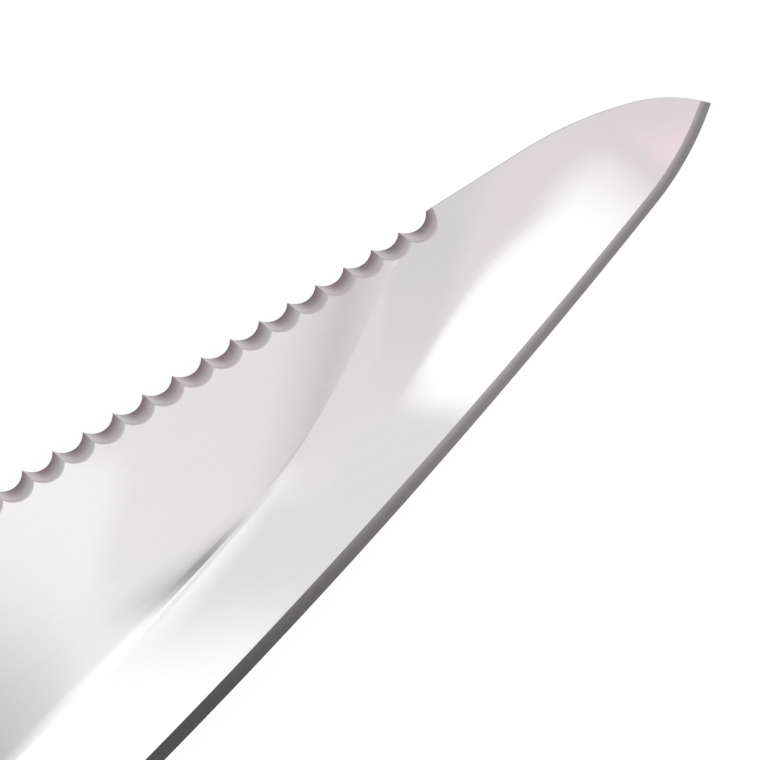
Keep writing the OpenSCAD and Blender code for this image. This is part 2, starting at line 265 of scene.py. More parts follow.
def handle_stations(start, count=72, butt_count=28):
    """Distances from start to the butt, even at first and closer together where the butt is rounded."""
    even = np.linspace(start, handle_len - butt_r, count, endpoint=False)
    return np.concatenate([even, handle_len - butt_r * (1 - np.sin(np.linspace(0, np.pi / 2, butt_count)))])


# The choil is a quarter round from the bolsters' underside to the back of the heel, met at choil_end
choil_n = 14
choil_room = heel_run * np.cos(heel_slope) - (heel_depth - front_depth) * np.sin(heel_slope)
choil_r = choil_room / (1 - np.sin(heel_slope))
choil_turn = np.linspace(heel_slope, np.pi / 2, choil_n)
choil = choil_r * np.stack([np.cos(choil_turn), np.sin(choil_turn) - 1], -1) - np.array([0, front_depth])
choil_end = np.hypot(*(choil[0] - heel))

# The edges of the spine are broken, and the buffing wheel has rounded the rims of the notches on the upper
# face more than the rest. In the end notches the rounding fades out, over a share of the notch.
edge_break, rim_break = 0.1, 0.4
rear_fade, front_fade = 0.4, 0.5
into_row = np.where(notch_index == notch_count - 1, ease(notch_share, 0, rear_fade), 1)
out_of_row = np.where(notch_index == 0, ease(notch_share, 1, 1 - front_fade), 1)
rim = np.full(len(columns), edge_break)
rim[is_notch] += (rim_break - edge_break) * into_row * out_of_row

# Rows of the faces, as zones from the edge up: bevel, hollow, buffed ridge, flat, and flat above the choil.
# The shares are the most of a rib that a broken edge, the ridge and the ridge's reach take up.
zone_rows = (4, 20, 14, 5, 10)
zone_places = [zone + np.arange(n) / n for zone, n in enumerate(zone_rows)]
row_place = np.concatenate([*zone_places, [len(zone_rows)]])
ridge_reach = 1.3
rim_share, ridge_share, reach_share = 0.1, 0.96, 0.45

# Rows across the thickness: the upper broken edge has four points between its ends, and the wall below it
# has five. A broken edge takes up a share of the half thickness at most.
rim_turn = np.array([0.2, 0.4, 0.6, 0.8])
break_share, wall_rows = 0.4, 5
wall_share = (1 - break_share) * np.linspace(1, -1, wall_rows)
strip_share = np.concatenate([[1], 1 - break_share * rim_turn ** 2, wall_share, [-1]])


def rib_rows(height, x, rim):
    """Distances from the edge of a rib's points: even steps within each zone between its two limits."""
    top = height - np.minimum(rim, rim_share * height)
    ridge = np.minimum(grind_width(x), ridge_share * top)
    reach = np.minimum(ridge_reach, reach_share * (top - ridge))
    choil_share = (choil_end - ridge[0] - reach[0]) / (top[0] - ridge[0] - reach[0])
    choil_row = ridge + reach + choil_share * (top - ridge - reach)
    limits = np.stack([0 * top, bevel_width(x, height), ridge - reach, ridge + reach, choil_row, top], -1)
    zone = np.minimum(row_place.astype(int), len(zone_rows) - 1)
    return limits[:, zone] + (limits[:, zone + 1] - limits[:, zone]) * (row_place - zone)


def lift(points, z):
    """Points of a plane with a height added, one for all of them or one for each."""
    return np.concatenate([points, np.broadcast_to(z, points.shape[:-1])[..., None]], -1)


def blade_face(side, rim, rounds=4, least_width=1e-6, most_share=2):
    """One face of the blade, columns by rows: each column is the straight rib from a point of the edge to
    the spine above it, as thick as the grind leaves it. The spine's line and its height z depend on one
    another, and a few rounds settle them. Round the rear wall of the last notch, which leans over the ribs,
    all rows but the top one are spaced evenly instead. Also gives its UV, the way along the edge in
    millimetres and the share of the bevel's width, and the height z of the spine."""
    top_z = np.full(len(columns), blade_t / 2)
    for _ in range(rounds):
        foot, height, up = edge_foot(spine_line(side * top_z))
        top_z = half_thickness(height, foot[:, 0], height)
    d = rib_rows(height, foot[:, 0], rim)
    even_x = foot[:, 0].copy()
    even_x[rear_wall] = np.linspace(*even_x[rear_wall][[0, -1]], len(even_x[rear_wall]))
    even_foot, even_up = edge_at(even_x)
    points = even_foot[:, None] + d[..., None] * even_up[:, None]
    points[:, -1] = foot + d[:, -1:] * up
    x = np.repeat(even_x[:, None], d.shape[1], 1)
    x[:, -1] = foot[:, 0]
    z = side * half_thickness(d, x, height[:, None])
    width = np.maximum(bevel_width(even_x, height), least_width)[:, None]
    uv = np.stack([x, np.minimum(d / width, most_share)], -1)
    return lift(points, z), uv, side * top_z


def flat_face(low, top, z, rows):
    """Flat face between two lines, columns by rows, that stops short of the top line by the broken edge."""
    span = top - low
    span = span * (1 - edge_break / np.hypot(span[:, 0], span[:, 1]))[:, None]
    return lift(low[:, None] + span[:, None] * np.linspace(0, 1, rows)[:, None], z)


def spine_strip(upper, lower, upper_z, lower_z, rim, line_at):
    """Strip over the spine, from the top of the upper face to the top of the lower one. The upper edge is a
    quadratic curve from the face's last point to the wall, pulled to the corner that it takes away. Also
    gives the rows' heights for the UV: 0 on the lower face, 1 where the upper rim starts, 2 on the upper."""
    drop = np.minimum(rim, break_share * np.abs(upper_z))
    low_drop = np.minimum(edge_break, break_share * np.abs(lower_z))
    shares = np.linspace(1, 0, wall_rows)
    heights = [lower_z + low_drop + (upper_z - drop - lower_z - low_drop) * share for share in shares]
    wall = [lift(line_at(z), z) for z in heights]
    corner = lift(line_at(upper_z), upper_z)
    curve = [(1 - t) ** 2 * upper + 2 * t * (1 - t) * corner + t ** 2 * wall[0] for t in rim_turn]
    height = np.concatenate([[2], 2 - rim_turn, shares, [0]])
    return np.stack([upper, *curve, *wall, lower], 1), height


def across(upper, lower):
    """Strip of straight lines between the same points of both faces, with rows at the strip's shares."""
    return (upper + lower)[:, None] / 2 + (upper - lower)[:, None] / 2 * strip_share[:, None]


def soften(mesh, sharp=30.0):
    """Smooth shading, with a crease where two faces meet at more than the sharp angle in degrees."""
    mesh.polygons.foreach_set("use_smooth", np.ones(len(mesh.polygons), dtype=bool))
    mesh.set_sharp_from_angle(angle=np.radians(sharp))


def knife_mesh(name, patches, weld=0.0002 * mm):
    """Mesh of several grids of points, each with the material of its quads. The grids share their border
    points, which are merged, so that the surface closes. Each quad keeps its grid's UV, if it has one."""
    corners, materials, uvs, count = [], [], [], 0
    for points, material, *uv in patches:
        n, m = points.shape[:2]
        grid = count + np.arange(n * m).reshape(n, m)
        quads = np.stack([grid[:-1, :-1], grid[1:, :-1], grid[1:, 1:], grid[:-1, 1:]], -1)
        corners.append(quads.reshape(-1, 4))
        materials.append(np.broadcast_to(material, (n - 1, m - 1)).ravel())
        uvs.append(uv[0].reshape(-1, 2) if uv else np.zeros((n * m, 2)))
        count += n * m
    corners = np.concatenate(corners)
    points = np.concatenate([patch[0].reshape(-1, 3) for patch in patches]) * mm + knife_origin
    corner_uv = np.concatenate(uvs)[corners.ravel()]
    mesh = bpy.data.meshes.new(name)
    mesh.vertices.add(count)
    mesh.vertices.foreach_set("co", points.astype(np.float32).ravel())
    mesh.loops.add(corners.size)
    mesh.loops.foreach_set("vertex_index", corners.astype(np.int32).ravel())
    mesh.polygons.add(len(corners))
    mesh.polygons.foreach_set("loop_start", np.arange(0, corners.size, 4, dtype=np.int32))
    mesh.polygons.foreach_set("material_index", np.concatenate(materials).astype(np.int32))
    mesh.uv_layers.new(name="surface").uv.foreach_set("vector", corner_uv.ravel())
    mesh.update(calc_edges=True)
    work = bmesh.new()
    work.from_mesh(mesh)
    bmesh.ops.remove_doubles(work, verts=work.verts, dist=weld)
    bmesh.ops.dissolve_degenerate(work, edges=work.edges, dist=weld)
    bmesh.ops.recalc_face_normals(work, faces=work.faces)
    work.to_mesh(mesh)
    work.free()
    soften(mesh)
    return mesh


def mesh_values(items, value, size=1, kind=np.int32):
    """One value of all loops or polygons of a mesh, as an array."""
    values = np.empty(size * len(items), dtype=kind)
    items.foreach_get(value, values)
    return values


def crease(mesh, limits):
    """Marks the edges between different materials as creases, and those where two faces of one material
    meet at more than its limit in degrees. The two faces of an edge are found by sorting loops by edge."""
    sides = mesh_values(mesh.polygons, "loop_total")
    material = mesh_values(mesh.polygons, "material_index")
    normal = mesh_values(mesh.polygons, "normal", 3, np.float32).reshape(-1, 3)
    loop_face = np.repeat(np.arange(len(sides)), sides)
    by_edge = np.argsort(mesh_values(mesh.loops, "edge_index"), kind="stable")
    one, other = loop_face[by_edge].reshape(-1, 2).T
    limit = np.cos(np.radians(limits))[material[one]]
    folded = (normal[one] * normal[other]).sum(-1) < limit
    mesh.edges.foreach_set("use_edge_sharp", folded | (material[one] != material[other]))


def put_together(name, mesh, node, materials):
    """Object of a finished mesh, which stands for one part of the frame and rides with it."""
    piece = bpy.data.objects.new(name, mesh)
    bpy.context.scene.collection.objects.link(piece)
    for material in materials:
        mesh.materials.append(material)
    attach(piece, "root")
    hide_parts(node)
    return piece


def linear(colour):
    """Linear RGBA of an sRGB hex colour: a straight part near black, and a power of 2.4 above it."""
    levels = np.array([int(colour[i:i + 2], 16) for i in (1, 3, 5)]) / 255
    return (*np.where(levels > 0.04045, ((levels + 0.055) / 1.055) ** 2.4, levels / 12.92).tolist(), 1.0)


def add_node(tree, kind, inputs=None, **settings):
    """Adds a shader node, sets what the settings name, and then each input, by its name or its place. An
    input takes a value, or a link from a socket, or from the first output in use of another node."""
    node = tree.nodes.new("ShaderNode" + kind)
    for name, value in settings.items():
        setattr(node, name, value)
    used = [socket for socket in node.inputs if socket.enabled]
    for place, value in (inputs or {}).items():
        into = used[place] if isinstance(place, int) else next(s for s in used if s.name == place)
        if isinstance(value, bpy.types.Node):
            value = next(socket for socket in value.outputs if socket.enabled)
        if isinstance(value, bpy.types.NodeSocket):
            tree.links.new(value, into)
        else:
            into.default_value = value
    return node


def bare_material(name):
    """New material with an empty node tree."""
    material = bpy.data.materials.new(name)
    material.use_nodes = True
    material.node_tree.nodes.clear()
    return material, material.node_tree


def grain(tree, sizes, detail, laid=None):
    """Pattern of grains with the given sizes in millimetres along x, y and z: noise at the place on the
    piece over the sizes, moved or turned as the pattern is laid."""
    place = add_node(tree, "TexCoord").outputs["Object"]
    scale = [1 / (size * mm) for size in sizes]
    grains = add_node(tree, "Mapping", {"Vector": place, "Scale": scale, **(laid or {})})
    return add_node(tree, "TexNoise", {"Vector": grains, "Scale": 1.0, "Detail": detail})


# Stainless steel, buffed to a mirror: it shows the studio almost unblurred. The last buffing wheel leaves
# a faint haze in streaks along the blade, 0.5 mm wide and 14 mm long.
mirror_steel, tree = bare_material("stainless_mirror_buffed")
haze = grain(tree, (14.0, 0.5, 2.0), 3.0)
tone = add_node(tree, "Mix", {
    "Factor": haze, "A": linear("#d2d2d2"), "B": linear("#d6d5d5")}, data_type="RGBA")
rough = add_node(tree, "MapRange", {"Value": haze, "To Min": 0.01, "To Max": 0.035})
shader = add_node(tree, "BsdfPrincipled", {"Base Color": tone, "Metallic": 1.0, "Roughness": rough})
add_node(tree, "OutputMaterial", {"Surface": shader})

# Stainless steel, stoned: the bevel is greyer than the buffed face and carries fine scratches across the
# edge, drawn 0.12 mm apart so that they show. Towards the heel it is darker and even, a painted shade, and
# towards the tip a painted shade darkens it from its shoulder to the edge.
stone_turn = np.radians(-16)
heel_shade_end, tip_shade_start = 84.0, 136.0
stoned_steel, tree = bare_material("stainless_edge_stoned")
lines = grain(tree, (0.12, 4.0, 4.0), 2.0, {"Rotation": (0, 0, stone_turn)})
way = add_node(tree, "SeparateXYZ", {"Vector": add_node(tree, "UVMap", uv_map="surface")})
to_tip = add_node(tree, "MapRange", {
    "Value": way.outputs["X"], "From Min": heel_shade_end, "From Max": tip_shade_start},
    interpolation_type="SMOOTHSTEP")
to_shoulder = add_node(tree, "MapRange", {
    "Value": way.outputs["Y"], "From Min": 0.35, "From Max": 1.05}, interpolation_type="SMOOTHSTEP")
# Painted shade: the bevel is darker and even towards the heel, and near the tip darker towards the edge
heel_painted_shade = add_node(tree, "Mix", {
    "Factor": lines, "A": linear("#5d5d5d"), "B": linear("#747474")}, data_type="RGBA")
tip_painted_edge_shade = add_node(tree, "Mix", {
    "Factor": to_shoulder, "A": linear("#ada9aa"), "B": linear("#dbd8d9")}, data_type="RGBA")
tone = add_node(tree, "Mix", {"Factor": to_tip, "A": heel_painted_shade, "B": tip_painted_edge_shade}, data_type="RGBA")
bump = add_node(tree, "Bump", {"Height": lines, "Strength": 0.1, "Distance": 0.02 * mm})
shader = add_node(tree, "BsdfPrincipled", {
    "Base Color": tone, "Metallic": 1.0, "Roughness": 0.26, "Normal": bump})
add_node(tree, "OutputMaterial", {"Surface": shader})

# Stainless steel, ground and then buffed: the notch walls keep the cutter's marks, 0.2 mm apart. The walls
# that face the heel carry a painted shade, dark and mauve, and the walls that face the tip a painted
# highlight. All walls grow lighter up to the upper rim, a painted highlight.
notch_steel, tree = bare_material("stainless_notch_ground")
marks = grain(tree, (0.6, 0.6, 0.2), 3.0)
way = add_node(tree, "SeparateXYZ", {"Vector": add_node(tree, "UVMap", uv_map="surface")})
to_heel = add_node(tree, "MapRange", {
    "Value": way.outputs["X"], "From Min": 0.05, "From Max": 0.48}, interpolation_type="SMOOTHSTEP")
to_rim = add_node(tree, "MapRange", {
    "Value": way.outputs["Y"], "From Min": -0.1, "From Max": 1.8}, interpolation_type="SMOOTHSTEP")
# Painted shade on the walls that face the heel, and painted highlight on those that face the tip and towards
# the rim
painted_wall_shade = add_node(tree, "Mix", {
    "Factor": marks, "A": linear("#605057"), "B": linear("#8e7982")}, data_type="RGBA")
painted_walls = add_node(tree, "Mix", {"Factor": to_heel, "A": linear("#c5bdc1"), "B": painted_wall_shade}, data_type="RGBA")
tone = add_node(tree, "Mix", {"Factor": to_rim, "A": painted_walls, "B": linear("#d2ccce")}, data_type="RGBA")
rough = add_node(tree, "MapRange", {"Value": to_rim, "To Min": 0.42, "To Max": 0.52})
bump = add_node(tree, "Bump", {"Height": marks, "Strength": 0.15, "Distance": 0.05 * mm})
shader = add_node(tree, "BsdfPrincipled", {
    "Base Color": tone, "Metallic": 1.0, "Roughness": rough, "Normal": bump})
add_node(tree, "OutputMaterial", {"Surface": shader})

# Stainless steel, belt ground: the spine, the choil and the edges of the tang have lines along them,
# drawn 0.15 mm apart so that they show.
belt_steel, tree = bare_material("stainless_spine_belt_ground")
lines = grain(tree, (6.0, 0.15, 0.15), 2.0)
tone = add_node(tree, "Mix", {
    "Factor": lines, "A": linear("#bdbcbd"), "B": linear("#cdcccd")}, data_type="RGBA")
bump = add_node(tree, "Bump", {"Height": lines, "Strength": 0.12, "Distance": 0.03 * mm})
shader = add_node(tree, "BsdfPrincipled", {
    "Base Color": tone, "Metallic": 1.0, "Roughness": 0.28, "Normal": bump})
add_node(tree, "OutputMaterial", {"Surface": shader})

# The finishes in the order of the blade's materials, and the angle in degrees past which each is creased
mirror, stoned, notched, belted = range(4)
crease_limits = 2.5, 30.0, 40.0, 40.0
upper_face, upper_uv, upper_z = blade_face(1, rim)
lower_face, lower_uv, lower_z = blade_face(-1, edge_break)
face_finish = np.where(np.arange(sum(zone_rows)) < zone_rows[0], stoned, mirror)

# The tang goes on from the back of the heel, as the choil's columns and then the handle's stations
tang_x = handle_stations(0.0)[1:]
tang_low = np.concatenate([choil, np.stack([-tang_x, under_y(tang_x)], -1)])
tang_top_x = np.concatenate([spine_start[0] * np.linspace(1, 0, choil_n), -tang_x])
tang_top = np.stack([tang_top_x, back_y(np.maximum(-tang_top_x, 0))], -1)
tang_rows = zone_rows[-1] + 1
tang_upper = flat_face(tang_low, tang_top, blade_t / 2, tang_rows)
tang_lower = flat_face(tang_low, tang_top, -blade_t / 2, tang_rows)

# Strips close the blade between its faces: spine, edge, back of the heel, underside and butt
blade_spine, spine_height = spine_strip(
    upper_face[:, -1], lower_face[:, -1], upper_z, lower_z, rim, spine_line)
tang_spine = spine_strip(
    tang_upper[:, -1], tang_lower[:, -1], blade_t / 2, -blade_t / 2, edge_break, lambda z: tang_top)[0]
notch_way = np.concatenate([0 * plain_share, notch_share, np.ones(column_ends[-1] - column_ends[2])])
spine_uv = np.stack(np.broadcast_arrays(notch_way[:, None], spine_height), -1)
spine_finish = np.where(is_notch[1:] | is_notch[:-1], notched, belted)[:, None]
heel_rows = slice(0, sum(zone_rows[:-1]) + 1)
butt_end = across(tang_upper[-1], tang_lower[-1])
butt_end[-1] = tang_spine[-1]
blade_mesh = knife_mesh("blade_of_steel", [
    (upper_face, face_finish, upper_uv), (lower_face, face_finish, lower_uv),
    (tang_upper, mirror), (tang_lower, mirror),
    (blade_spine, spine_finish, spine_uv), (tang_spine, belted),
    (across(upper_face[:, 0], lower_face[:, 0]), stoned),
    (across(upper_face[0, heel_rows], lower_face[0, heel_rows]), belted),
    (across(tang_upper[:, 0], tang_lower[:, 0]), belted),
    (butt_end, belted)])
blade_finishes = [mirror_steel, stoned_steel, notch_steel, belt_steel]
blade = put_together("steel_blade", blade_mesh, "blade", blade_finishes)

# Bolsters
# Two cheeks of forged stainless steel close the handle's front, one on each side of the tang. They slope
# down to the blade, are rounded with the grip and satin finished, and two pins hold them.


def knife_box(node):
    """Lowest and highest corner of a part, in millimetres along the knife's own axes."""
    return [(np.array(corner) - knife_origin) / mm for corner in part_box(node)]


bolster_low, bolster_high = knife_box("right_bolster")
bolster_len = -bolster_low[0]
face_z = bolster_high[2]
slope_len, slope_t, rim_r = 8.0, 1.0, 3.0
grip_r, grip_depth_share, grip_wall_share, corner_n = 5.5, 0.45, 0.9, 15

# Where bolsters and scales meet, both are drawn in by the seam, which shows as a fine groove
seam = 0.12


def outer_z(x):
    """Height of the grip's outer face: a smooth rise over the bolsters' slope, and round at the butt."""
    front = blade_t / 2 + slope_t
    return front + (face_z - front) * ease(x, 0, slope_len) - corner_drop(handle_len - x, rim_r)


def grip_half(x, inner_z, inset):
    """One half of the grip, from the plane inner_z out, stations by points, and its two end caps. Each
    station has two straight sides, two elliptic corners and a flat outer face, drawn in by the inset."""
    top, low, out = back_y(x) - inset, under_y(x) + inset, outer_z(x) - inset
    round_y = np.minimum(grip_r, grip_depth_share * (top - low))[:, None]
    round_z = np.minimum(grip_r, grip_wall_share * (out - inner_z))[:, None]
    turn = np.linspace(0, np.pi / 2, corner_n)
    rising, falling = 1 - np.cos(turn), 1 - np.sin(turn)
    top, low, out = top[:, None], low[:, None], out[:, None]
    inner = np.full_like(top, inner_z)
    y = np.concatenate([low, top, top - round_y * rising, low + round_y * falling, low], 1)
    z = np.concatenate([inner, inner, out - round_z * falling, out - round_z * rising, inner], 1)
    skin = np.stack([np.broadcast_to(-x[:, None], y.shape), y, z], -1)
    caps = [np.stack([end, np.broadcast_to(end[:-1].mean(0), end.shape)]) for end in (skin[0], skin[-1])]
    return [skin, *caps]


def both_sides(kind, patches, node, material):
    """Left and right piece of one form, of which the left one is mirrored in the middle of the blade."""
    pieces = []
    for side, way in (("left", -1), ("right", 1)):
        name = f"{side}_{kind}"
        mesh = knife_mesh(name, [(patch * (1, 1, way), 0) for patch in patches])
        pieces.append(put_together(name, mesh, f"{side}_{node}", [material]))
    return pieces


# Stainless steel, satin finished: an abrasive belt leaves lines round the grip, drawn 0.2 mm apart so
# that they show, which spread the light.
satin_steel, tree = bare_material("stainless_satin_belted")
lines = grain(tree, (0.2, 7.0, 7.0), 3.0)
tone = add_node(tree, "Mix", {
    "Factor": lines, "A": linear("#b3b2b2"), "B": linear("#cbcaca")}, data_type="RGBA")
rough = add_node(tree, "MapRange", {"Value": lines, "To Min": 0.22, "To Max": 0.36})
bump = add_node(tree, "Bump", {"Height": lines, "Strength": 0.12, "Distance": 0.04 * mm})
shader = add_node(tree, "BsdfPrincipled", {
    "Base Color": tone, "Metallic": 1.0, "Roughness": rough, "Normal": bump})
add_node(tree, "OutputMaterial", {"Surface": shader})

slope_n, level_n = 40, 16
bolster_x = np.concatenate([
    np.linspace(0, slope_len, slope_n, endpoint=False),
    np.linspace(slope_len, bolster_len - seam, level_n), [bolster_len]])
bolster_inset = np.where(bolster_x == bolster_len, seam, 0)
bolster_form = grip_half(bolster_x, blade_t / 2, bolster_inset)
bolsters = both_sides("steel_bolster", bolster_form, "bolster", satin_steel)

# Bolster pins
# Two lengths of stainless rod go through the bolsters and the tang. They are peened over and ground flush,
# so that each end shows as a faint ring.
pin_r, pin_chamfer = 1.6, 0.12
fit_gap, bit_over = 0.05, 2.0
bit_reach = face_z + bit_over


def turned(profile, node, steps=96):
    """Surface of revolution round the middle of a part: each point of the profile, given by its radius and
    height, is carried round in even steps. The UV is the share of the turn and the way on the profile."""
    low, high = knife_box(node)
    radius, height = np.array(profile, dtype=float).T
    turn = np.linspace(0, 2 * np.pi, steps + 1)
    x = (low[0] + high[0]) / 2 + radius[:, None] * np.cos(turn)
    y = (low[1] + high[1]) / 2 + radius[:, None] * np.sin(turn)
    way = np.concatenate([[0], np.cumsum(np.hypot(np.diff(radius), np.diff(height)))])
    uv = np.stack(np.broadcast_arrays(turn / (2 * np.pi), way[:, None]), -1)
    return np.stack([x, y, np.broadcast_to(height[:, None], x.shape)], -1), 0, uv


def straight_bit(r):
    """Profile of the drill for a rod of radius r: wider by the gap of the fit, and past both faces."""
    return [(0, bit_reach), (r + fit_gap, bit_reach), (r + fit_gap, -bit_reach), (0, -bit_reach)]


def drill(pieces, bits):
    """Cuts closed surfaces of revolution out of the pieces, and shades the pieces again."""
    bit = bpy.data.objects.new("drill", knife_mesh("drill", bits))
    bpy.context.scene.collection.objects.link(bit)
    for piece in pieces:
        cut = piece.modifiers.new("drilled", "BOOLEAN")
        cut.operation, cut.solver, cut.object = "DIFFERENCE", "EXACT", bit
        whole = piece.data
        view = bpy.context.evaluated_depsgraph_get()
        piece.data = bpy.data.meshes.new_from_object(piece.evaluated_get(view))
        piece.modifiers.clear()
        bpy.data.meshes.remove(whole)
        soften(piece.data)
    bpy.data.meshes.remove(bit.data)


# Stainless steel, turned and buffed: faint rings round the middle of each end, drawn 0.15 mm apart so
# that they show. The UV's way along the profile is in millimetres.
ring_gap, ring_share = 0.15, 0.5
turned_steel, tree = bare_material("stainless_turned_buffed")
ring_way = add_node(tree, "UVMap", uv_map="surface")
ring = add_node(tree, "Mapping", {"Vector": ring_way, "Scale": (ring_share, 1 / ring_gap, 1)})
rings = add_node(tree, "TexNoise", {"Vector": ring, "Scale": 1.0, "Detail": 2.0})
tone = add_node(tree, "Mix", {
    "Factor": rings, "A": linear("#bfbcb5"), "B": linear("#d4d1ca")}, data_type="RGBA")
rough = add_node(tree, "MapRange", {"Value": rings, "To Min": 0.16, "To Max": 0.28})
bump = add_node(tree, "Bump", {"Height": rings, "Strength": 0.08, "Distance": 0.03 * mm})
shader = add_node(tree, "BsdfPrincipled", {
    "Base Color": tone, "Metallic": 1.0, "Roughness": rough, "Normal": bump})
add_node(tree, "OutputMaterial", {"Surface": shader})


def turned_piece(name, profile, node):
    """Piece of turned steel, from its profile, that stands for a part."""
    put_together(name, knife_mesh(name, [turned(profile, node)]), node, [turned_steel])


pin_profile = [
    (0, face_z), (pin_r - pin_chamfer, face_z), (pin_r, face_z - pin_chamfer),
    (pin_r, pin_chamfer - face_z), (pin_r - pin_chamfer, -face_z), (0, -face_z)]
pin_nodes = ("upper_bolster_pin", "lower_bolster_pin")
drill([blade, *bolsters], [turned(straight_bit(pin_r), node) for node in pin_nodes])
for node in pin_nodes:
    turned_piece(f"{node}_rod", pin_profile, node)

# Liners
# A sheet of black vulcanised fibre lies between the tang and each scale. It seals the joint, and is
# sanded flush with the grip, so that it shows as a black line.
liner_low, liner_high = knife_box("right_liner")

# Vulcanised fibre, dyed black and sanded: a matt sheet with paler fibres in it, about 0.4 mm apart.
black_fibre, tree = bare_material("vulcanised_fibre_black_sanded")
strands = grain(tree, (3.0, 0.4, 0.4), 4.0)
tone = add_node(tree, "Mix", {
    "Factor": strands, "A": linear("#121110"), "B": linear("#35312e")}, data_type="RGBA")
bump = add_node(tree, "Bump", {"Height": strands, "Strength": 0.2, "Distance": 0.05 * mm})
shader = add_node(tree, "BsdfPrincipled", {"Base Color": tone, "Roughness": 0.68, "Normal": bump})
add_node(tree, "OutputMaterial", {"Surface": shader})

liner_x = handle_stations(bolster_len)
liner_sheet = np.stack([np.stack([-liner_x, y], -1) for y in (under_y(liner_x), back_y(liner_x))], 1)
liner_faces = [lift(liner_sheet, z) for z in (liner_low[2], liner_high[2])]
every = slice(None)
borders = (every, 0), (every, 1), (0, every), (-1, every)
liner_borders = [np.stack([face[border] for face in liner_faces], 1) for border in borders]
liners = both_sides("fibre_liner", liner_faces + liner_borders, "liner", black_fibre)

# Scales
# Two slabs of rosewood make the grip. They are sawn from one board, glued and riveted to the tang,
# rounded on a belt with the bolsters, and oiled.

# Rosewood, sanded and oiled: red-brown with near-black growth layers about 3.5 mm apart, and open pores
# along the grain, drawn 0.35 mm wide and 6 mm long so that they show. The oil leaves a low sheen. A wave
# of scale 1 repeats after about 0.314 m, and noise bends the layers by up to 12 mm.
layer_gap, wave_period, layer_bend = 3.5 * mm, 0.314, 12.0 * mm
rosewood, tree = bare_material("rosewood_sanded_oiled")
drift = grain(tree, (70.0, 12.0, 12.0), 3.0, {
    "Location": (0.02, 0.018, -0.05), "Rotation": (0, np.radians(4), np.radians(5))})
place = add_node(tree, "TexCoord").outputs["Object"]
trunk = add_node(tree, "Mapping", {
    "Vector": place, "Location": (0, 0.012, 0.045), "Rotation": (0, np.radians(3), np.radians(2))})
bend = add_node(tree, "VectorMath", {0: drift.outputs["Color"], 1: [layer_bend] * 3}, operation="MULTIPLY")
grown = add_node(tree, "VectorMath", {0: trunk, 1: bend}, operation="ADD")
layers = add_node(tree, "TexWave", {
    "Vector": grown, "Scale": wave_period / layer_gap, "Distortion": 1.5, "Detail": 3.0,
    "Detail Scale": 1.5}, wave_type="RINGS", rings_direction="X", wave_profile="SAW")
streaks = grain(tree, (45.0, 1.3, 1.3), 4.0)
pores = grain(tree, (6.0, 0.35, 0.35), 1.0)
open_pore = add_node(tree, "MapRange", {"Value": pores, "From Min": 0.62, "From Max": 0.7})
body_tone = add_node(tree, "Mix", {
    "Factor": streaks, "A": linear("#7c4426"), "B": linear("#42210f")}, data_type="RGBA")
layer_share = add_node(tree, "MapRange", {
    "Value": layers.outputs["Fac"], "From Min": 0.35, "From Max": 1.0, "To Max": 0.8},
    interpolation_type="SMOOTHSTEP")
layer_tone = add_node(tree, "Mix", {
    "Factor": layer_share, "A": body_tone, "B": linear("#22110a")}, data_type="RGBA")
tone = add_node(tree, "Mix", {
    "Factor": open_pore, "A": layer_tone, "B": linear("#150a06")}, data_type="RGBA")
rough = add_node(tree, "MapRange", {"Value": streaks, "To Min": 0.34, "To Max": 0.5})
bump = add_node(tree, "Bump", {"Height": open_pore, "Strength": 0.25, "Distance": 0.12 * mm}, invert=True)
shader = add_node(tree, "BsdfPrincipled", {
    "Base Color": tone, "Roughness": rough, "IOR": 1.5, "Normal": bump, "Coat Weight": 0.12,
    "Coat Roughness": 0.3})
add_node(tree, "OutputMaterial", {"Surface": shader})

scale_x = np.concatenate([[bolster_len], handle_stations(bolster_len + seam, count=84, butt_count=40)])
scale_inset = np.where(scale_x == bolster_len, seam, 0)
scale_form = grip_half(scale_x, liner_high[2], scale_inset)
scales = both_sides("rosewood_scale", scale_form, "scale", rosewood)

# Cutler's rivets
# Three pairs of stainless rivets hold the scales. Each is a sleeve with a head in the left scale and a
# post with a head in the right one, which is driven into it. The heads are ground flush.
head_r, head_t, head_chamfer = 4.0, 2.0, 0.15
sleeve_r, post_r, post_len, post_room = 2.75, 1.8, 12.0, 1.0
head_z = face_z - head_t
post_end, bore_end = head_z - post_len, head_z - post_len - post_room
sleeve_end, bore_r = head_z - fit_gap, post_r + fit_gap
post_profile = [
    (0, face_z), (head_r - head_chamfer, face_z), (head_r, face_z - head_chamfer), (head_r, head_z),
    (post_r, head_z), (post_r, post_end + head_chamfer), (post_r - head_chamfer, post_end), (0, post_end)]
sleeve_profile = [
    (0, -face_z), (head_r - head_chamfer, -face_z), (head_r, head_chamfer - face_z), (head_r, -head_z),
    (sleeve_r, -head_z), (sleeve_r, sleeve_end), (bore_r, sleeve_end), (bore_r, bore_end), (0, bore_end)]
seat_r, hole_r = head_r + fit_gap, sleeve_r + fit_gap
stepped_bit = [
    (0, bit_reach), (seat_r, bit_reach), (seat_r, head_z), (hole_r, head_z),
    (hole_r, -head_z), (seat_r, -head_z), (seat_r, -bit_reach), (0, -bit_reach)]
rivet_rows = ("front", "middle", "rear")
drill(scales, [turned(stepped_bit, f"{row}_rivet_post") for row in rivet_rows])
drill([blade, *liners], [turned(straight_bit(sleeve_r), f"{row}_rivet_post") for row in rivet_rows])
for row in rivet_rows:
    for kind, profile in (("post", post_profile), ("sleeve", sleeve_profile)):
        turned_piece(f"{row}_rivet_{kind}_turned", profile, f"{row}_rivet_{kind}")

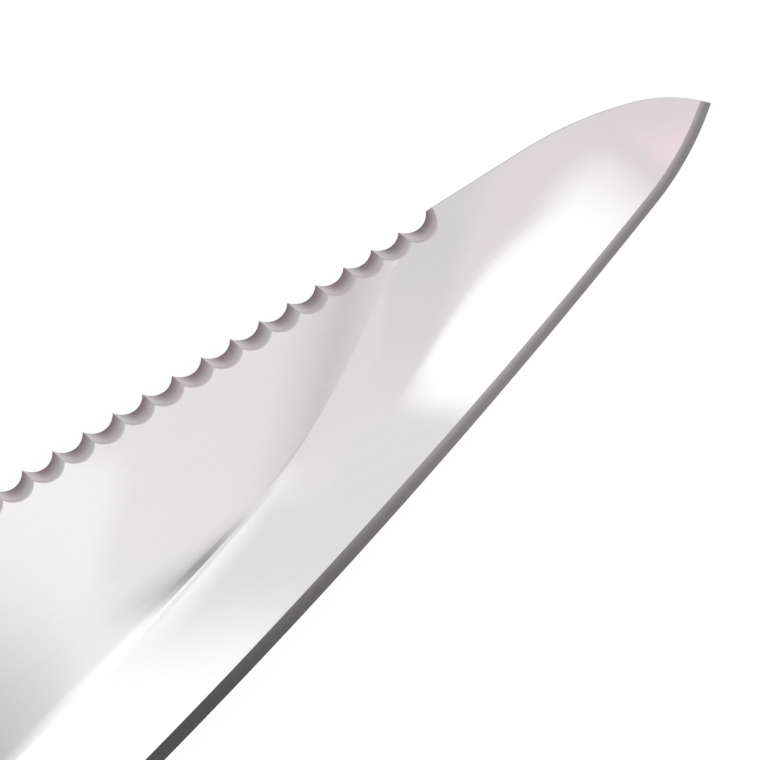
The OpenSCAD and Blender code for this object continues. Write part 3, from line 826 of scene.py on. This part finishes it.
# Lanyard tube
# A length of stainless tube lines the hanging hole at the butt. Its ends are flared a little inside and
# ground flush with the scales.
tube_r, tube_bore_r, tube_flare, tube_chamfer, flare_n = 3.5, 2.75, 0.4, 0.12, 7
flare_turn = np.linspace(np.pi / 2, 0, flare_n)
flare_r = tube_bore_r + tube_flare * (1 - np.sin(flare_turn))
flare_z = face_z - tube_flare * (1 - np.cos(flare_turn))
tube_top = list(zip(flare_r, flare_z))
tube_profile = [
    (tube_r - tube_chamfer, face_z), (tube_r, face_z - tube_chamfer), (tube_r, tube_chamfer - face_z),
    (tube_r - tube_chamfer, -face_z), *[(r, -z) for r, z in tube_top[::-1]], *tube_top,
    (tube_r - tube_chamfer, face_z)]
drill([blade, *liners, *scales], [turned(straight_bit(tube_r), "lanyard_tube")])
turned_piece("lanyard_tube_flared", tube_profile, "lanyard_tube")

# The blade has its last hole now, so its creases can be set
crease(blade.data, crease_limits)

# Floor
# A plain white sheet under the knife. What looks at it sees white, with the knife's soft shadow, and it
# lights the knife as white paper does.
paper_half = 4.0
glow_strength = 0.9


def level_card(name, middle, half, order, material):
    """Level square card of the studio, with corners half a side out from the middle, which it lists in an
    order that turns its face up or down."""
    corners = np.array([(-1, -1, 0), (1, -1, 0), (1, 1, 0), (-1, 1, 0)]) * half + middle
    mesh = bpy.data.meshes.new(name)
    mesh.from_pydata(corners.tolist(), [], [order])
    mesh.materials.append(material)
    card = bpy.data.objects.new(name, mesh)
    bpy.context.scene.collection.objects.link(card)
    return card


# Paper, white and matt: to the camera and in the steel it is white with a soft shadow, because it glows a
# little, and to all other light it is plain white paper.
paper, tree = bare_material("paper_white_matt")
ray = add_node(tree, "LightPath")
seen = add_node(tree, "Math", {
    0: ray.outputs["Is Camera Ray"], 1: ray.outputs["Is Glossy Ray"]}, operation="MAXIMUM")
matt = add_node(tree, "BsdfDiffuse", {"Color": linear("#e8e8e8")})
shadowed = add_node(tree, "BsdfDiffuse", {"Color": linear("#626262")})
glow = add_node(tree, "Emission", {"Color": linear("#ffffff"), "Strength": glow_strength})
bright = add_node(tree, "AddShader", {0: shadowed, 1: glow})
mixed = add_node(tree, "MixShader", {0: seen, 1: matt, 2: bright})
add_node(tree, "OutputMaterial", {"Surface": mixed})
level_card("paper_floor", (0, 0, 0), paper_half, (0, 1, 2, 3), paper)

# Camera
# It looks straight down on the front half of the blade, rolled so that the spine rises to the upper right.
# Its field is the width that the picture takes in on the blade.
roll = np.radians(-32.2)
aim = np.array([121.79, -11.96, blade_t / 2]) * mm + knife_origin
camera_height, field, sensor = 0.695, 0.07665, 36.0
camera_data = bpy.data.cameras.new("camera")
camera_data.sensor_width = sensor
camera_data.lens = sensor * camera_height / field
camera = bpy.data.objects.new("camera", camera_data)
camera.location = aim + np.array([0, 0, camera_height])
camera.rotation_euler = (0, 0, roll)
bpy.context.scene.collection.objects.link(camera)
bpy.context.scene.camera = camera

# Studio ceiling
# A large card, 1 m above the blade, that only the steel and the wood's sheen show. Over the blade it is
# lit, and turns from white to a faint mauve at the upper right. Around that it falls off to grey. Light
# panels and darker cards hang in it, each over the ones before.
ceiling_height, ceiling_half = 1.0, 5.0
fade_way, fade_from, fade_to = (0.656, 0.755, 0), -160.0, 140.0
lit_radius, grey_radius = 300.0, 1000.0
steel_share = 0.655

# Each panel is given in millimetres by its centre to the right of and above the camera's axis, its half
# sizes, its turn in degrees, the widths of its soft borders, and the colour that the steel shows
panels = {
    "heel_panel": ((8, -187), (78, 229), 66, (52, 3), "#ffffff"),
    "edge_card": ((94, -127), (37, 136), 33, (48, 62), "#dfdede"),
    "dark_gap": ((2, -91), (66, 12), -44, (4, 26), "#9e9c9d"),
    "dark_gap_end": ((-49, -49), (14, 1), 32, (28, 10), "#aeadae"),
    "tip_panel": ((99, -41), (19, 37), 7, (5, 30), "#ffffff"),
    "tip_panel_end": ((101, -6), (16, 16), -24, (8, 28), "#ffffff"),
    "under_card": ((100, -96), (44, 19), -39, (4, 12), "#dedddd"),
    "left_panel": ((-108, -45), (38, 34), -14, (10, 12), "#f2f1f1"),
    "left_card": ((-71, -147), (32, 90), 37, (61, 54), "#b9b8b8"),
    "camera_card": ((-11, 8), (0, 43), -14, (32, 16), "#aba6a8"),
    "tip_shade": ((147, -34), (19, 33), -13, (11, 70), "#d2d1d1"),
    "tip_card": ((109, 62), (41, 24), 88, (10, 12), "#ead9df"),
    "rear_light": ((208, -209), (21, 96), -68, (45, 60), "#ffffff"),
    "edge_flag": ((480, -440), (200, 620), -43, (120, 120), "#8c8a8b"),
}
card, tree = bare_material("ceiling_card_lit")
place = add_node(tree, "TexCoord").outputs["Object"]
level = add_node(tree, "Mapping", {
    "Vector": place, "Location": (aim[0], aim[1], 0), "Rotation": (0, 0, roll), "Scale": (mm, mm, 1)},
    vector_type="TEXTURE")
slope = add_node(tree, "VectorMath", {0: level, 1: fade_way}, operation="DOT_PRODUCT")
fade = add_node(tree, "MapRange", {"Value": slope, "From Min": fade_from, "From Max": fade_to})
over = add_node(tree, "Mix", {
    "Factor": fade, "A": linear("#eaebea"), "B": linear("#d9d1d4")}, data_type="RGBA")
reach = add_node(tree, "VectorMath", {0: level}, operation="LENGTH")
around = add_node(tree, "MapRange", {
    "Value": reach, "From Min": lit_radius, "From Max": grey_radius}, interpolation_type="SMOOTHSTEP")
shown = add_node(tree, "Mix", {"Factor": around, "A": over, "B": linear("#b0b1b2")}, data_type="RGBA")
for centre, half, turn, soft, colour in panels.values():
    local = add_node(tree, "Mapping", {
        "Vector": level, "Location": (*centre, 0), "Rotation": (0, 0, np.radians(turn))},
        vector_type="TEXTURE")
    away = add_node(tree, "VectorMath", {0: local}, operation="ABSOLUTE")
    axes = add_node(tree, "SeparateXYZ", {"Vector": away})
    inside = [add_node(tree, "MapRange", {
        "Value": axes.outputs[i], "From Min": half[i] + soft[i] / 2, "From Max": half[i] - soft[i] / 2},
        interpolation_type="SMOOTHSTEP") for i in (0, 1)]
    both = add_node(tree, "Math", {0: inside[0], 1: inside[1]}, operation="MULTIPLY")
    shown = add_node(tree, "Mix", {"Factor": both, "A": shown, "B": linear(colour)}, data_type="RGBA")
lit = add_node(tree, "Emission", {"Color": shown, "Strength": 1 / steel_share})
add_node(tree, "OutputMaterial", {"Surface": lit})
ceiling_middle = aim + np.array([0, 0, ceiling_height])
studio_ceiling = level_card("studio_ceiling", ceiling_middle, ceiling_half, (0, 3, 2, 1), card)
studio_ceiling.visible_camera = False
studio_ceiling.visible_diffuse = False
studio_ceiling.visible_shadow = False

# Studio walls
# Plain white all round, at the strength that shows as white. It lights the knife softly from all sides,
# and its steel shows it past the ceiling.
world = bpy.data.worlds.new("white_studio")
world.use_nodes = True
world.node_tree.nodes.clear()
white = add_node(world.node_tree, "Background", {"Color": linear("#ffffff"), "Strength": 1.0})
add_node(world.node_tree, "OutputWorld", {"Surface": white})
bpy.context.scene.world = world
bpy.context.scene.view_settings.view_transform = "Standard"
